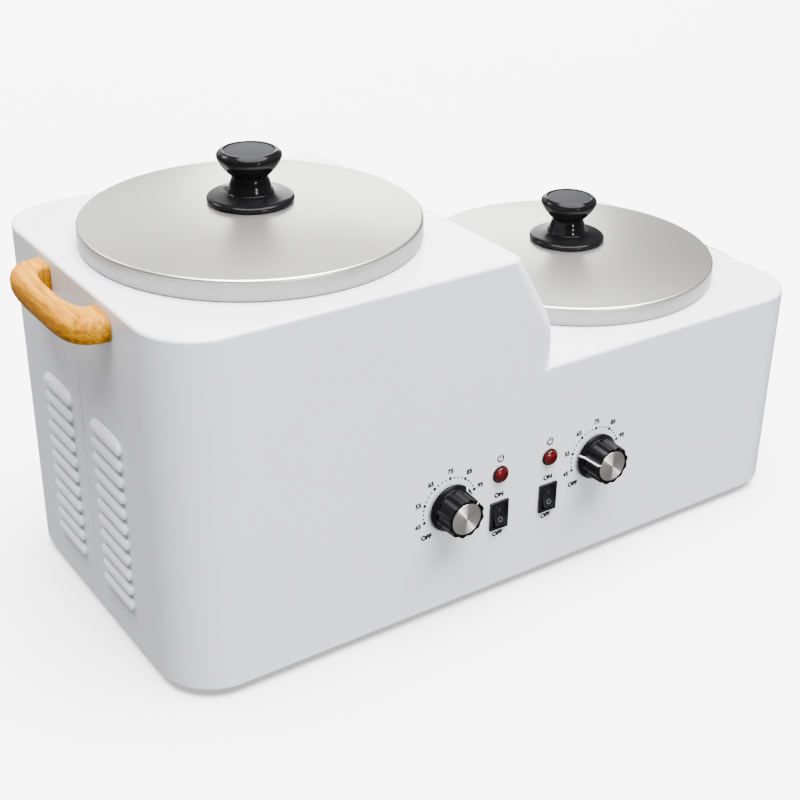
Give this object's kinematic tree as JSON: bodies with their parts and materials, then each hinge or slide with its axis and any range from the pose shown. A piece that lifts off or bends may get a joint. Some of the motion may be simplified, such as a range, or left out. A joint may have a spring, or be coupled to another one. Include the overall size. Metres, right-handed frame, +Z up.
{
  "type": "double wax warmer",
  "caption": "Stepped steel bench warmer with a tall and a shallow lift-out wax pot, domed lids, thermostat dials, rocker switches, pilot lamps and wooden end handles.",
  "frame": {"origin": "middle of the bounding box, on the plane of the feet's undersides", "axes": "+X along the casing from the tall pot to the shallow pot, +Y from the control panel to the rear wall, +Z up"},
  "size_m": [0.6022, 0.2946, 0.322],
  "materials": {
    "white_enamel": "glossy white baked enamel on sheet steel",
    "galvanised_steel": "plain galvanised sheet",
    "black_rubber": "matt moulded rubber",
    "zinc_steel": "zinc plated",
    "drawn_aluminium": "drawn, satin",
    "spun_aluminium": "spun and finely brushed in rings",
    "dial_aluminium": "turned face with a radial sheen",
    "mica_band": "steel jacket over mica",
    "black_bakelite": "polished phenolic",
    "black_nylon": "fine satin moulding",
    "varnished_wood": "clear varnish on honey-coloured wood",
    "plain_brass": "bright, uncoated",
    "copper_tube": "drawn copper",
    "red_lens": "deep red translucent acrylic",
    "cream_nylon": "matt moulding"
  },
  "bodies": {
    "casing_assembly": {"casing": "white_enamel", "base_plate": "galvanised_steel", "foot_front_left": "black_rubber", "foot_screw_front_left": "zinc_steel", "foot_front_right": "black_rubber", "foot_screw_front_right": "zinc_steel", "foot_rear_left": "black_rubber", "foot_screw_rear_left": "zinc_steel", "foot_rear_right": "black_rubber", "foot_screw_rear_right": "zinc_steel", "left_well": "drawn_aluminium", "left_heater_band": "mica_band", "left_band_screw": "zinc_steel", "left_handle": "varnished_wood", "left_handle_screw_front": "zinc_steel", "left_handle_screw_rear": "zinc_steel", "left_thermostat": "galvanised_steel", "left_thermostat_nut": "plain_brass", "left_sensing_bulb": "copper_tube", "left_switch_frame": "black_nylon", "left_lamp_holder": "black_nylon", "left_lamp_lens": "red_lens", "right_well": "drawn_aluminium", "right_heater_band": "mica_band", "right_band_screw": "zinc_steel", "right_handle": "varnished_wood", "right_handle_screw_front": "zinc_steel", "right_handle_screw_rear": "zinc_steel", "right_thermostat": "galvanised_steel", "right_thermostat_nut": "plain_brass", "right_sensing_bulb": "copper_tube", "right_switch_frame": "black_nylon", "right_lamp_holder": "black_nylon", "right_lamp_lens": "red_lens", "mains_inlet": "black_nylon", "line_pin": "plain_brass", "earth_pin": "plain_brass", "neutral_pin": "plain_brass", "inlet_screw_left": "zinc_steel", "inlet_screw_right": "zinc_steel", "terminal_block": "cream_nylon"},
    "left_pot_body": {"left_pot": "spun_aluminium"},
    "left_lid_body": {"left_lid": "spun_aluminium", "left_lid_knob": "black_bakelite", "left_lid_knob_screw": "zinc_steel"},
    "left_dial_body": {"left_dial_shaft": "zinc_steel", "left_dial_knob": "black_bakelite", "left_dial_cap": "dial_aluminium"},
    "left_rocker_body": {"left_rocker": "black_nylon"},
    "right_pot_body": {"right_pot": "spun_aluminium"},
    "right_lid_body": {"right_lid": "spun_aluminium", "right_lid_knob": "black_bakelite", "right_lid_knob_screw": "zinc_steel"},
    "right_dial_body": {"right_dial_shaft": "zinc_steel", "right_dial_knob": "black_bakelite", "right_dial_cap": "dial_aluminium"},
    "right_rocker_body": {"right_rocker": "black_nylon"}
  },
  "joints": [
    {"name": "left_pot_lift", "type": "slide", "parent": "casing_assembly", "child": "left_pot_body", "axis": [0, 0, 1], "range_m": [0, 0.21]},
    {"name": "left_lid_lift", "type": "slide", "parent": "left_pot_body", "child": "left_lid_body", "axis": [0, 0, 1], "range_m": [0, 0.08]},
    {"name": "left_dial_turn", "type": "hinge", "parent": "casing_assembly", "child": "left_dial_body", "pos_m": [-0.068, -0.1265, 0.0899], "axis": [0, 1, 0], "range_deg": [-180, 30]},
    {"name": "left_rocker_tilt", "type": "hinge", "parent": "casing_assembly", "child": "left_rocker_body", "pos_m": [-0.0243, -0.1245, 0.0683], "axis": [1, 0, 0], "range_deg": [0, 20]},
    {"name": "right_pot_lift", "type": "slide", "parent": "casing_assembly", "child": "right_pot_body", "axis": [0, 0, 1], "range_m": [0, 0.14]},
    {"name": "right_lid_lift", "type": "slide", "parent": "right_pot_body", "child": "right_lid_body", "axis": [0, 0, 1], "range_m": [0, 0.08]},
    {"name": "right_dial_turn", "type": "hinge", "parent": "casing_assembly", "child": "right_dial_body", "pos_m": [0.064, -0.1265, 0.0899], "axis": [0, 1, 0], "range_deg": [-66, 144]},
    {"name": "right_rocker_tilt", "type": "hinge", "parent": "casing_assembly", "child": "right_rocker_body", "pos_m": [0.0203, -0.1245, 0.0683], "axis": [1, 0, 0], "range_deg": [0, 20]}
  ]
}
